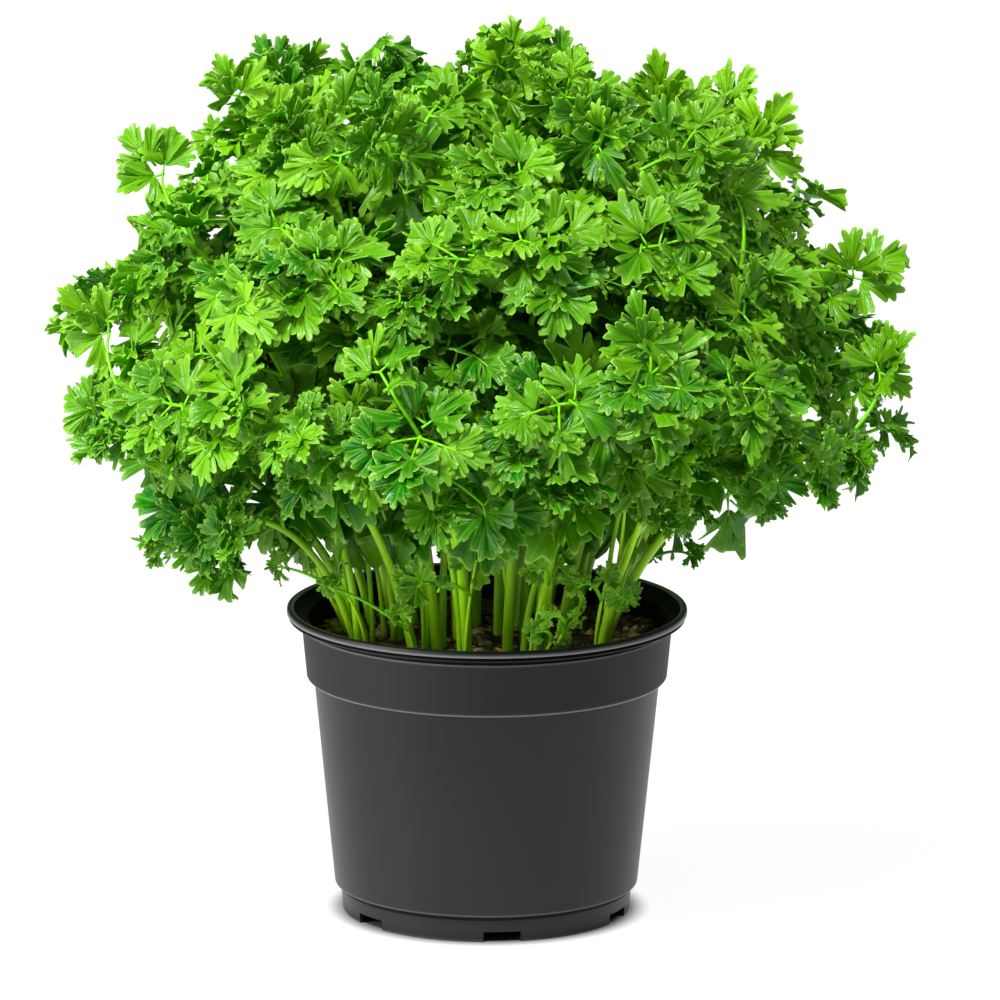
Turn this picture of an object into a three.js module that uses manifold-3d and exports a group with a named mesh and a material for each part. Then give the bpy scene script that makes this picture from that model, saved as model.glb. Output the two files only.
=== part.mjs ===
// A potted parsley plant in a black nursery pot: a thin-walled pot on a notched foot ring, the potting
// soil that fills it, and leafy stems that rise from plain holes in the soil and fan out into a dome.
// Each leafy stem is one body: a tapering stem, pairs of side branches, and on every end a head of
// three leaflets cut almost to the rib, each with two or three lobes. Lengths are in millimetres. +Z
// is up, the front is -Y, and the origin is the middle of the pot's foot, on the surface it stands on.
import * as THREE from "three";
import { mergeVertices } from "three/addons/utils/BufferGeometryUtils.js";
import Module from "manifold-3d";

const wasm = await Module();
wasm.setup();

// ---- driving dimensions ----
const POT_HEIGHT = 116;
const LIP = { radius: 75, skirtRadius: 74.2, height: 3, width: 2.8, bevel: 0.9 };
const NECK = { radius: 68.4, height: 3.4 };
const BAND = { top: 69.4, bottom: 67.5, height: 20.4, bevel: 0.8 };
const BODY = { top: 64.8, bottom: 56.8 };
const FOOT = { radius: 53.8, height: 9.6, wall: 2.6, flare: 0.8 };
const WALL = 1.3;
const FLOOR = { underside: 4.6, thickness: 1.8, corner: 2 };
const POT_SIDES = 32;
const NOTCH = { count: 6, firstDegrees: -83.5, width: 14, height: 4 };
const DRAIN = { count: 6, firstDegrees: -53.5, fromAxis: 40, radius: 4.5, sides: 6 };

const SOIL_LEVEL = 105;
const SOIL_MOUND = 2;
const SOIL_FLAT_RADIUS = 42;
const CLEARANCE = 0.3;

const STEM = { foot: 2.1, top: 1, steps: 4, depth: 7, straight: 14 };
const BEND = { rise: 0.35, lower: 0.42, upper: 0.38, swing: 2, furtherSwing: 1.5 };
const BRANCH = { root: 0.9, middle: 0.8, rise: 0.55, outward: 0.25, arch: 0.12, shrink: 0.02 };
const BRANCH_SCATTER = { outward: 0.1, furtherOutward: 0.05 };
const HEAD = { faceUp: 0.55, turn: 14, furtherTurn: 4, shrink: 0.025, sizeScatter: 0.1 };
const DOME_CENTRE = new THREE.Vector3(0, 0, 185);

// Rings of leafy stems, from the low outer one to the crown. turns are the stems' directions in
// degrees, reach and height place the top of each stem, foot is the ring's radius in the soil, lean is
// the stem's slope at its top, in degrees from upright, and size is the length of the top head's
// middle leaflet.
const evenly = (count, first) => Array.from({ length: count }, (_, i) => first + (360 * i) / count);
const RINGS = [
  { turns: [-44], reach: 98, height: 170, foot: 51, lean: 82, size: 26, pairs: 1 },
  { turns: [64, 136, 172, 208], reach: 108, height: 150, foot: 51, lean: 88, size: 26, pairs: 1 },
  { turns: [-26, 46, 118, 190], reach: 142, height: 187, foot: 45, lean: 76, size: 33, pairs: 2 },
  { turns: [-98, -62, 10, 82, 154, 226], reach: 144, height: 224, foot: 43, lean: 66, size: 33, pairs: 2 },
  { turns: evenly(8, -75), reach: 114, height: 268, foot: 31, lean: 50, size: 34, pairs: 2 },
  { turns: evenly(6, -122), reach: 82, height: 304, foot: 18, lean: 34, size: 33, pairs: 2 },
  { turns: [5], reach: 14, height: 320, foot: 4, lean: 8, size: 32, pairs: 2 },
];
const CROWN_OFFSET = new THREE.Vector3(0.2, 4.8, 0);
const SCATTER = { degrees: 5, reach: 3, height: 15, foot: 3, lean: 12 };

// Side branches: where each pair leaves the stem, its length and head as parts of the top head's size.
const PAIRS = [
  { at: 0.8, length: 1.35, size: 0.92, lobes: 2 },
  { at: 0.6, length: 1.75, size: 0.88, lobes: 2 },
];
const ATTEMPTS = 16;

const LEAF = {
  thickness: 0.9,
  leafletDegrees: 66,
  sideLeaflet: 0.9,
  lobeDegrees: 24,
  sideLobe: 0.86,
  notch: 0.66,
  cut: 0.24,
  ribBack: 2.4,
  ribHalfWidth: 1.5,
  curl: 0.3,
  wave: 0.1,
  waves: 5.5,
};

const UP = new THREE.Vector3(0, 0, 1);
const radians = THREE.MathUtils.degToRad;

// ---- repeatable chance ----
function chance(n) {
  const s = Math.sin(n * 12.9898 + 78.233) * 43758.5453;
  return s - Math.floor(s);
}

function scatter(n, amount) {
  return (2 * chance(n) - 1) * amount;
}

// ---- solids ----
function asSolid(geometry) {
  const bare = geometry.clone();
  bare.deleteAttribute("normal");
  bare.deleteAttribute("uv");
  const merged = mergeVertices(bare, 1e-4);
  const vertProperties = Float32Array.from(merged.attributes.position.array);
  const triVerts = Uint32Array.from(merged.index.array);
  return new wasm.Manifold(new wasm.Mesh({ numProp: 3, vertProperties, triVerts }));
}

function asGeometry(solid) {
  const mesh = solid.getMesh();
  const geometry = new THREE.BufferGeometry();
  geometry.setAttribute("position", new THREE.BufferAttribute(mesh.vertProperties, 3));
  geometry.setIndex(new THREE.BufferAttribute(mesh.triVerts, 1));
  geometry.computeVertexNormals();
  return geometry;
}

function fromTriangles(points, triangles) {
  const geometry = new THREE.BufferGeometry().setFromPoints(points);
  geometry.setIndex(triangles.flat());
  return geometry;
}

// The four corners of a bar's section, in the order that faces its near end.
function section({ middle, halfWidth, tangent, across }) {
  const side = across.clone().addScaledVector(tangent, -across.dot(tangent)).normalize();
  const rise = tangent.clone().cross(side);
  return [[1, 1], [1, -1], [-1, -1], [-1, 1]].map(([u, v]) => {
    return middle.clone().addScaledVector(side, u * halfWidth).addScaledVector(rise, v * halfWidth);
  });
}

// Joins four-cornered rings, given by their first point, with a cap on the near end.
function wrap(rings) {
  const triangles = [[rings[0][0], rings[0][1], rings[0][2]], [rings[0][0], rings[0][2], rings[0][3]]];
  for (let s = 1; s < rings.length; s++) {
    const [near, far] = [rings[s - 1], rings[s]];
    for (let i = 0; i < 4; i++) {
      const j = (i + 1) % 4;
      triangles.push([near[j], near[i], far[i]], [near[j], far[i], far[j]]);
    }
  }
  return triangles;
}

function bar(stations) {
  const points = stations.flatMap(section);
  const rings = stations.map((_, s) => [0, 1, 2, 3].map((i) => 4 * s + i));
  const end = rings[rings.length - 1];
  const cap = [[end[0], end[2], end[1]], [end[0], end[3], end[2]]];
  return asSolid(fromTriangles(points, [...wrap(rings), ...cap]));
}

function lathe(profile, sides) {
  const points = profile.map(([r, z]) => new THREE.Vector2(r, z));
  return asSolid(new THREE.LatheGeometry(points, sides).rotateX(Math.PI / 2));
}

// ---- the pot ----
const BAND_TOP = POT_HEIGHT - LIP.height - NECK.height;
const BAND_BOTTOM = BAND_TOP - BAND.height;
const FLOOR_TOP = FLOOR.underside + FLOOR.thickness;

// The pot's inner wall from the floor up to the ledge under the neck, which the soil follows.
const INNER_WALL = [
  [BODY.bottom - WALL - FLOOR.corner, FLOOR_TOP],
  [BODY.bottom - WALL, FLOOR_TOP + 2 * FLOOR.corner],
  [BODY.top - WALL, BAND_BOTTOM - WALL / 3],
  [BAND.bottom - WALL, BAND_BOTTOM + WALL],
  [BAND.top - WALL, BAND_TOP - WALL],
];

function makePot() {
  const lipBottom = POT_HEIGHT - LIP.height;
  const outerWall = [
    [0, FLOOR.underside],
    [FOOT.radius - FOOT.wall, FLOOR.underside],
    [FOOT.radius - FOOT.wall, 0],
    [FOOT.radius, 0],
    [FOOT.radius + FOOT.flare, FOOT.height],
    [BODY.bottom, FOOT.height + FOOT.flare],
    [BODY.top, BAND_BOTTOM],
    [BAND.bottom - BAND.bevel, BAND_BOTTOM],
    [BAND.bottom, BAND_BOTTOM + BAND.bevel],
    [BAND.top, BAND_TOP],
    [NECK.radius, BAND_TOP],
    [NECK.radius, lipBottom],
    [LIP.skirtRadius, lipBottom],
    [LIP.radius, POT_HEIGHT - LIP.bevel],
    [LIP.radius - LIP.bevel, POT_HEIGHT],
    [LIP.radius - LIP.width, POT_HEIGHT],
    [NECK.radius - WALL, lipBottom],
    [NECK.radius - WALL, BAND_TOP - WALL / 3],
  ];
  const profile = [...outerWall, ...INNER_WALL.toReversed(), [0, FLOOR_TOP]];
  let pot = lathe(profile, POT_SIDES);
  for (let i = 0; i < NOTCH.count; i++) {
    const notch = new THREE.BoxGeometry(FOOT.wall * 6, NOTCH.width, NOTCH.height * 2);
    notch.translate(FOOT.radius - FOOT.wall / 2, 0, 0);
    notch.rotateZ(radians(NOTCH.firstDegrees) + (i / NOTCH.count) * 2 * Math.PI);
    pot = pot.subtract(asSolid(notch));
  }
  for (let i = 0; i < DRAIN.count; i++) {
    const hole = new THREE.CylinderGeometry(DRAIN.radius, DRAIN.radius, 3 * FLOOR_TOP, DRAIN.sides);
    hole.rotateX(Math.PI / 2).translate(DRAIN.fromAxis, 0, 0);
    hole.rotateZ(radians(DRAIN.firstDegrees) + (i / DRAIN.count) * 2 * Math.PI);
    pot = pot.subtract(asSolid(hole));
  }
  return pot;
}

// ---- the soil ----
// It follows the inner wall with a small clearance, up to its own level, and is mounded in the middle.
function makeSoil(stems) {
  const edge = SOIL_LEVEL - SOIL_MOUND;
  const wall = INNER_WALL.slice(0, -1);
  const [[lowRadius, low], [highRadius, high]] = INNER_WALL.slice(-2);
  wall.push([THREE.MathUtils.mapLinear(edge, low, high, lowRadius, highRadius), edge]);
  const profile = wall.map(([r, z]) => [r - CLEARANCE, z]);
  profile[0][1] = FLOOR_TOP + CLEARANCE;
  const top = [[SOIL_FLAT_RADIUS, SOIL_LEVEL], [0, SOIL_LEVEL]];
  let soil = lathe([[0, profile[0][1]], ...profile, ...top], POT_SIDES);
  for (const stem of stems) {
    soil = soil.subtract(stemHole(stem));
  }
  return soil;
}

// ---- leafy stems ----
// Where each stem stands and where it ends, from its ring and its place in the ring.
function planStems() {
  const stems = [];
  for (const ring of RINGS) {
    for (const turn of ring.turns) {
      const seed = 1000 * (stems.length + 1);
      const azimuth = radians(turn + scatter(seed + 1, SCATTER.degrees));
      const out = new THREE.Vector3(Math.cos(azimuth), Math.sin(azimuth), 0);
      const reach = ring.reach + scatter(seed + 2, SCATTER.reach);
      const height = ring.height + scatter(seed + 3, SCATTER.height);
      const foot = ring.foot + scatter(seed + 4, SCATTER.foot);
      const lean = radians(ring.lean + scatter(seed + 5, SCATTER.lean));
      const bottom = out.clone().multiplyScalar(foot).setZ(SOIL_LEVEL - STEM.depth);
      stems.push({ seed, ring, out, bottom, reach, height, lean });
    }
  }
  return stems;
}

// A stem leaves the soil straight, and then bends over to its top in one sweep. Each attempt after
// the first moves the top round the pot a little further.
function bendStem(stem, attempt) {
  const { bottom, height, reach, out, lean } = stem;
  const sway = attempt === 0 ? 0 : BEND.swing + BEND.furtherSwing * attempt;
  const swing = radians(scatter(stem.seed + 5 * attempt, sway));
  const top = out.clone().applyAxisAngle(UP, swing).multiplyScalar(reach).setZ(height);
  top.add(CROWN_OFFSET);
  const chord = top.clone().sub(bottom);
  const arrive = chord.clone().setZ(0).normalize();
  const slope = BEND.rise * chord.dot(arrive) / chord.z;
  const rise = arrive.clone().multiplyScalar(slope).add(UP).normalize();
  const shoulder = bottom.clone().addScaledVector(rise, STEM.straight);
  const length = shoulder.distanceTo(top);
  stem.across = new THREE.Vector3(-arrive.y, arrive.x, 0);
  arrive.multiplyScalar(Math.sin(lean)).addScaledVector(UP, Math.cos(lean));
  stem.rise = rise;
  stem.curve = new THREE.CubicBezierCurve3(
    shoulder,
    shoulder.clone().addScaledVector(rise, BEND.lower * length),
    top.clone().addScaledVector(arrive, -BEND.upper * length),
    top,
  );
}

function stemStations(stem) {
  const stations = [{ middle: stem.bottom, halfWidth: STEM.foot, tangent: stem.rise }];
  for (let i = 0; i < STEM.steps; i++) {
    const t = i / STEM.steps;
    const halfWidth = THREE.MathUtils.lerp(STEM.foot, STEM.top, t);
    stations.push({ middle: stem.curve.getPoint(t), halfWidth, tangent: stem.curve.getTangent(t) });
  }
  return stations.map((station) => ({ ...station, across: stem.across }));
}

// The plain hole that a stem stands in.
function stemHole(stem) {
  return bar([-CLEARANCE, STEM.straight].map((along) => ({
    middle: stem.bottom.clone().addScaledVector(stem.rise, along),
    halfWidth: STEM.foot + CLEARANCE,
    tangent: stem.rise,
    across: stem.across,
  })));
}

// ---- heads of leaflets ----
// A head's outline from one side of its rib to the other, with the fan's middle along +X. A side
// leaflet has its outer lobe only when it has three.
function headOutline(size, sideLobes) {
  const polar = (length, degrees) => {
    return new THREE.Vector2(length * Math.cos(radians(degrees)), length * Math.sin(radians(degrees)));
  };
  const points = [new THREE.Vector2(-LEAF.ribBack, -LEAF.ribHalfWidth)];
  for (const leaflet of [-1, 0, 1]) {
    const middle = leaflet * LEAF.leafletDegrees;
    const length = size * (leaflet === 0 ? 1 : LEAF.sideLeaflet);
    const lobes = [-1, 0, 1].filter((lobe) => sideLobes === 3 || lobe * leaflet < 1);
    if (leaflet > -1) {
      points.push(polar(size * LEAF.cut, middle - LEAF.leafletDegrees / 2));
    }
    lobes.forEach((lobe, i) => {
      if (i > 0) {
        points.push(polar(length * LEAF.notch, middle + (lobe - 0.5) * LEAF.lobeDegrees));
      }
      points.push(polar(length * (lobe === 0 ? 1 : LEAF.sideLobe), middle + lobe * LEAF.lobeDegrees));
    });
  }
  points.push(new THREE.Vector2(-LEAF.ribBack, LEAF.ribHalfWidth));
  return points;
}

// A bar that ends in a head: one thin blade whose two faces have the same triangles. The head curls
// down towards its tips and waves across its leaflets. extra thickens it all over.
function sprig(stations, head, extra) {
  const { root, forward, across, normal, size, lobes } = head;
  const outline = headOutline(size, lobes);
  const onFace = (p, side) => {
    const r = p.length() / size;
    const wave = LEAF.wave * r * Math.cos(LEAF.waves * Math.atan2(p.y, p.x));
    const drop = size * (wave - LEAF.curl * r * r);
    const above = drop + side * (LEAF.thickness / 2 + extra);
    const point = root.clone().addScaledVector(forward, p.x).addScaledVector(across, p.y);
    return point.addScaledVector(normal, above);
  };
  const n = outline.length;
  const start = 4 * stations.length;
  const points = [
    ...stations.flatMap((s) => section({ ...s, halfWidth: s.halfWidth + extra })),
    ...outline.map((p) => onFace(p, 1)),
    ...outline.map((p) => onFace(p, -1)),
  ];
  const rings = stations.map((_, s) => [0, 1, 2, 3].map((i) => 4 * s + i));
  rings.push([start + n - 1, start + 2 * n - 1, start + n, start]);
  const triangles = wrap(rings);
  for (const [i, j, k] of THREE.ShapeUtils.triangulateShape(outline, [])) {
    triangles.push([i, j, k].map((v) => start + v), [i, k, j].map((v) => start + n + v));
  }
  for (let i = start; i < start + n - 1; i++) {
    triangles.push([i, n + i, n + i + 1], [i, n + i + 1, i + 1]);
  }
  return asSolid(fromTriangles(points, triangles));
}

// A head faces out of the dome and up. Each attempt after the first turns it further and shrinks it.
function poseHead(root, direction, size, seed, attempt) {
  const outward = root.clone().sub(DOME_CENTRE).normalize();
  const free = HEAD.turn + HEAD.furtherTurn * attempt;
  const normal = outward.addScaledVector(UP, HEAD.faceUp).normalize();
  const forward = direction.clone().addScaledVector(normal, -direction.dot(normal)).normalize();
  const turns = [
    [normal, scatter(seed + 1, free)],
    [forward, scatter(seed + 2, free)],
    [normal.clone().cross(forward), scatter(seed + 3, free)],
  ];
  for (const [axis, degrees] of turns) {
    forward.applyAxisAngle(axis, radians(degrees));
    normal.applyAxisAngle(axis, radians(degrees));
  }
  const across = normal.clone().cross(forward);
  return { root, forward, across, normal, size: size * (1 - HEAD.shrink * attempt) };
}

// Twig 0 is the stem with the head at its top; the others are the side branches, in pairs.
function poseTwig(stem, twig, attempt) {
  const seed = stem.seed + 100 * twig + 5 * attempt;
  const size = stem.ring.size * (1 + scatter(stem.seed + 100 * twig + 95, HEAD.sizeScatter));
  if (twig === 0) {
    bendStem(stem, attempt);
    const head = poseHead(stem.curve.v3, stem.curve.getTangent(1), size, seed, attempt);
    return { stations: stemStations(stem), head: { ...head, lobes: 3 } };
  }
  const pair = PAIRS[Math.floor((twig - 1) / 2)];
  const side = twig % 2 === 0 ? 1 : -1;
  const from = stem.curve.getPoint(pair.at);
  const along = stem.curve.getTangent(pair.at);
  const direction = stem.across.clone().multiplyScalar(side).addScaledVector(along, BRANCH.rise);
  const outward = from.clone().sub(DOME_CENTRE).normalize();
  const sway = BRANCH_SCATTER.outward + BRANCH_SCATTER.furtherOutward * attempt;
  direction.addScaledVector(outward, BRANCH.outward + scatter(seed + 4, sway)).normalize();
  const length = size * pair.length * (1 - BRANCH.shrink * attempt);
  const end = from.clone().addScaledVector(direction, length);
  const middle = from.clone().lerp(end, 0.5).addScaledVector(along, BRANCH.arch * length);
  const arrive = end.clone().sub(middle).normalize();
  const leave = middle.clone().sub(from).normalize();
  const head = poseHead(end, arrive, size * pair.size, seed, attempt);
  const stations = [
    { middle: from, halfWidth: BRANCH.root, tangent: leave, across: head.across },
    { middle, halfWidth: BRANCH.middle, tangent: direction, across: head.across },
  ];
  return { stations, head: { ...head, lobes: pair.lobes } };
}

// ---- keeping the pieces clear of each other ----
const placed = [];

function overlaps(solid, isOwn) {
  const box = solid.boundingBox();
  return placed.some((other) => {
    if (isOwn(other)) return false;
    for (let i = 0; i < 3; i++) {
      if (box.min[i] > other.box.max[i] || box.max[i] < other.box.min[i]) return false;
    }
    return !solid.intersect(other.solid).isEmpty();
  });
}

function place(solid, stem, leaf) {
  placed.push({ solid, stem, leaf, box: solid.boundingBox() });
}

// A twig takes the first attempt that is clear of everything that has already grown. A side branch
// with no room is left out.
function growTwig(stem, twig) {
  for (let attempt = 0; attempt < ATTEMPTS; attempt++) {
    const { stations, head } = poseTwig(stem, twig, attempt);
    const reach = twig === 0 ? stations.slice(-1) : stations.slice(1);
    if (overlaps(sprig(reach, head, CLEARANCE), (other) => other.stem === stem && !other.leaf)) continue;
    if (overlaps(sprig(stations, head, CLEARANCE), (other) => other.stem === stem)) continue;
    const grown = sprig(stations, head, 0);
    place(sprig(reach, head, 0), stem, true);
    place(grown, stem, false);
    stem.solid = stem.solid ? stem.solid.add(grown) : grown;
    return;
  }
  if (twig === 0) throw new Error(`no room for the stem at ${stem.bottom.toArray()}`);
}

// ---- assembly ----
const potMaterial = new THREE.MeshStandardMaterial({ color: 0x1d1e20, roughness: 0.42 });
const soilMaterial = new THREE.MeshStandardMaterial({ color: 0x3b2417, roughness: 0.95 });
const plantMaterial = new THREE.MeshStandardMaterial({ color: 0x2f8a1e, roughness: 0.5 });

const potted = new THREE.Group();
function addPiece(name, solid, material) {
  const mesh = new THREE.Mesh(asGeometry(solid), material);
  mesh.name = name;
  potted.add(mesh);
}

const pot = makePot();
place(pot, null, false);

const stems = planStems();
const TWIGS = Math.max(...RINGS.map((ring) => 2 * ring.pairs)) + 1;
for (let twig = 0; twig < TWIGS; twig++) {
  for (const stem of stems) {
    if (twig <= 2 * stem.ring.pairs) growTwig(stem, twig);
  }
}

addPiece("pot", pot, potMaterial);
addPiece("soil", makeSoil(stems), soilMaterial);
stems.forEach((stem, i) => {
  addPiece(`leafy_stem_${String(i + 1).padStart(2, "0")}`, stem.solid, plantMaterial);
});

export default potted;
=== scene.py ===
"""A potted parsley plant dressed for rendering: fine leaves and stems grown on the frame's leafy stems,
a smooth moulded pot and crumbly soil. Growth is worked out in millimetres and built in metres."""
import math
import bmesh
import bpy
import numpy as np
from types import SimpleNamespace as Values
from mathutils import Matrix, Vector, noise


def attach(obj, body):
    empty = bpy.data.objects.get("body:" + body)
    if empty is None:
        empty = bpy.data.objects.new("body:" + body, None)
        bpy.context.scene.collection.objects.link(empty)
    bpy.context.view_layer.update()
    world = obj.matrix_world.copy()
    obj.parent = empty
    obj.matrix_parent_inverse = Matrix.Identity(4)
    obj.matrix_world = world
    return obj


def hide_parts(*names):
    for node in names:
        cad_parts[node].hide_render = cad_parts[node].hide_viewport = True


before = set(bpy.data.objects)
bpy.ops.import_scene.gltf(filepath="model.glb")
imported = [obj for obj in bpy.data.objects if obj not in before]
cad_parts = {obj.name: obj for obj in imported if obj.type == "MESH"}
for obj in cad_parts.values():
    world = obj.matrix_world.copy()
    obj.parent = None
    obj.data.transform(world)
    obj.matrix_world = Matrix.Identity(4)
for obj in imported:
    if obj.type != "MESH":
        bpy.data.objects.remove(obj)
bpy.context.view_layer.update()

MM = 0.001
UP = np.array([0.0, 0.0, 1.0])

# ---- the plant's growth rule, as the frame's leafy stems follow it ----
SOIL_LEVEL = 105.0
SOIL_MOUND = 2.0
STEM = Values(foot=2.1, top=1.0, depth=7.0, straight=14.0)
BEND = Values(rise=0.35, lower=0.42, upper=0.38, swing=2, further_swing=1.5)
BRANCH = Values(rise=0.55, outward=0.25, arch=0.12, shrink=0.02)
BRANCH_SCATTER = Values(outward=0.1, further_outward=0.05)
HEAD = Values(face_up=0.55, turn=14, further_turn=4, shrink=0.025, size_scatter=0.1)
DOME_CENTRE = np.array([0.0, 0.0, 185.0])
CROWN_OFFSET = np.array([0.2, 4.8, 0.0])
SCATTER = Values(degrees=5, reach=3, height=15, foot=3, lean=12)
PAIRS = [
    Values(at=0.8, length=1.35, size=0.92),
    Values(at=0.6, length=1.75, size=0.88),
]
ATTEMPTS = 16
LEAF = Values(thickness=0.9, leaflet=66, side=0.9, curl=0.3, wave=0.1, waves=5.5)


def evenly(count, first):
    return [first + 360 * i / count for i in range(count)]


# Each ring of stems: turns, reach, height, foot, lean, leaf size and number of branch pairs.
RINGS = [
    ([-44], 98, 170, 51, 82, 26, 1),
    ([64, 136, 172, 208], 108, 150, 51, 88, 26, 1),
    ([-26, 46, 118, 190], 142, 187, 45, 76, 33, 2),
    ([-98, -62, 10, 82, 154, 226], 144, 224, 43, 66, 33, 2),
    (evenly(8, -75), 114, 268, 31, 50, 34, 2),
    (evenly(6, -122), 82, 304, 18, 34, 33, 2),
    ([5], 14, 320, 4, 8, 32, 2),
]


def chance(n):
    s = math.sin(n * 12.9898 + 78.233) * 43758.5453
    return s - math.floor(s)


def scatter(n, amount):
    return (2 * chance(n) - 1) * amount


def unit(v):
    return v / np.linalg.norm(v)


def level(angle):
    """The horizontal direction at an angle round the pot's axis."""
    return np.array([math.cos(angle), math.sin(angle), 0])


def rotated(v, axis, angle):
    c, s = math.cos(angle), math.sin(angle)
    return v * c + np.cross(axis, v) * s + axis * np.dot(axis, v) * (1 - c)


def bezier(p, t):
    k = 1 - t
    return k**3 * p[0] + 3 * k * k * t * p[1] + 3 * k * t * t * p[2] + t**3 * p[3]


def slope(p, t, step=1e-4):
    return unit(bezier(p, min(t + step, 1)) - bezier(p, max(t - step, 0)))


def plan_stems():
    stems = []
    for turns, reach, height, foot, lean, size, pairs in RINGS:
        for turn in turns:
            seed = 1000 * (len(stems) + 1)
            azimuth = math.radians(turn + scatter(seed + 1, SCATTER.degrees))
            out = level(azimuth)
            foot_at = out * (foot + scatter(seed + 4, SCATTER.foot))
            stems.append(Values(
                seed=seed,
                out=out,
                bottom=foot_at + UP * (SOIL_LEVEL - STEM.depth),
                reach=reach + scatter(seed + 2, SCATTER.reach),
                height=height + scatter(seed + 3, SCATTER.height),
                lean=math.radians(lean + scatter(seed + 5, SCATTER.lean)),
                size=size,
                pairs=pairs,
                side_twigs=[],
            ))
    return stems


def bend_stem(stem, attempt):
    sway = BEND.swing + BEND.further_swing * attempt if attempt else 0
    swing = math.radians(scatter(stem.seed + 5 * attempt, sway))
    top = rotated(stem.out, UP, swing) * stem.reach + UP * stem.height + CROWN_OFFSET
    chord = top - stem.bottom
    arrive = unit(chord * [1, 1, 0])
    rise = unit(arrive * (BEND.rise * np.dot(chord, arrive) / chord[2]) + UP)
    shoulder = stem.bottom + rise * STEM.straight
    length = np.linalg.norm(shoulder - top)
    stem.across = np.array([-arrive[1], arrive[0], 0])
    stem.rise = rise
    arrive = arrive * math.sin(stem.lean) + UP * math.cos(stem.lean)
    stem.curve = [
        shoulder,
        shoulder + rise * BEND.lower * length,
        top - arrive * BEND.upper * length,
        top,
    ]


def pose_head(root, direction, size, seed, attempt):
    outward = unit(root - DOME_CENTRE)
    free = HEAD.turn + HEAD.further_turn * attempt
    normal = unit(outward + UP * HEAD.face_up)
    forward = unit(direction - normal * np.dot(direction, normal))
    across = np.cross(normal, forward)
    yaw, roll, pitch = (math.radians(scatter(seed + i, free)) for i in (1, 2, 3))
    forward = rotated(forward, normal, yaw)
    normal = rotated(normal, forward, roll)
    forward, normal = rotated(forward, across, pitch), rotated(normal, across, pitch)
    across = np.cross(normal, forward)
    size = size * (1 - HEAD.shrink * attempt)
    return Values(root=root, forward=forward, across=across, normal=normal, size=size, upright=False)


def pose_twig(stem, twig, attempt):
    seed = stem.seed + 100 * twig + 5 * attempt
    size = stem.size * (1 + scatter(stem.seed + 100 * twig + 95, HEAD.size_scatter))
    if twig == 0:
        bend_stem(stem, attempt)
        head = pose_head(stem.curve[3], slope(stem.curve, 1), size, seed, attempt)
        return [], head
    pair = PAIRS[(twig - 1) // 2]
    side = 1 if twig % 2 == 0 else -1
    start = bezier(stem.curve, pair.at)
    along = slope(stem.curve, pair.at)
    outward = unit(start - DOME_CENTRE)
    sway = BRANCH_SCATTER.outward + BRANCH_SCATTER.further_outward * attempt
    spread = BRANCH.outward + scatter(seed + 4, sway)
    direction = unit(stem.across * side + along * BRANCH.rise + outward * spread)
    length = size * pair.length * (1 - BRANCH.shrink * attempt)
    end = start + direction * length
    middle = (start + end) / 2 + along * BRANCH.arch * length
    head = pose_head(end, unit(end - middle), size * pair.size, seed, attempt)
    return [start, middle, end], head


def middle_tips(head):
    """The tips of the three leaflets' middle lobes on the upper face, as the frame has them."""
    tips = []
    for leaflet in (-1, 0, 1):
        angle = math.radians(leaflet * LEAF.leaflet)
        r = 1 if leaflet == 0 else LEAF.side
        lift = head.size * (LEAF.wave * r * math.cos(LEAF.waves * angle) - LEAF.curl * r * r)
        flat = head.forward * math.cos(angle) + head.across * math.sin(angle)
        tips.append(head.root + flat * r * head.size + head.normal * (lift + LEAF.thickness / 2))
    return np.array(tips)


# How near a leaflet's tip a vertex of the frame has to be.
MATCH = 0.05


def grown_twigs(stem, vertices):
    """Each twig that the frame's node has, at the attempt it grew with."""
    grown = []
    for twig in range(2 * stem.pairs + 1):
        for attempt in range(ATTEMPTS):
            path, head = pose_twig(stem, twig, attempt)
            gaps = [np.min(np.linalg.norm(vertices - tip, axis=1)) for tip in middle_tips(head)]
            if max(gaps) < MATCH:
                grown.append((twig, path, head))
                break
    return grown


def node_vertices(name):
    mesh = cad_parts[name].data
    co = np.zeros(len(mesh.vertices) * 3)
    mesh.vertices.foreach_get("co", co)
    return co.reshape(-1, 3) / MM


stems = plan_stems()
for i, stem in enumerate(stems):
    stem.name = f"leafy_stem_{i + 1:02d}"
    stem.twigs = grown_twigs(stem, node_vertices(stem.name))


# ---- chance in the fine growth ----
# Seeds of the generators, and the first seed of each kind of extra head with the step to the next.
SEEDS = Values(forms=5, side_twigs=31, stem=1000, young=404, soil=77)
SIDE_SEEDS = range(50000, 90000, 17)
LOW_SEEDS = range(90000, 91000)
YOUNG_SEEDS = range(91000, 99000, 31)
FORK_SEEDS = range(3, 31, 7)


def either_way(rng, most, count=None):
    return rng.uniform(-most, most, count)


# ---- mesh building ----
POINT_VALUES = ("vein", "edge", "under", "height", "shade", "chip")


def placed(name, data):
    """A new object in the scene."""
    made = bpy.data.objects.new(name, data)
    bpy.context.scene.collection.objects.link(made)
    return made


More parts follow.
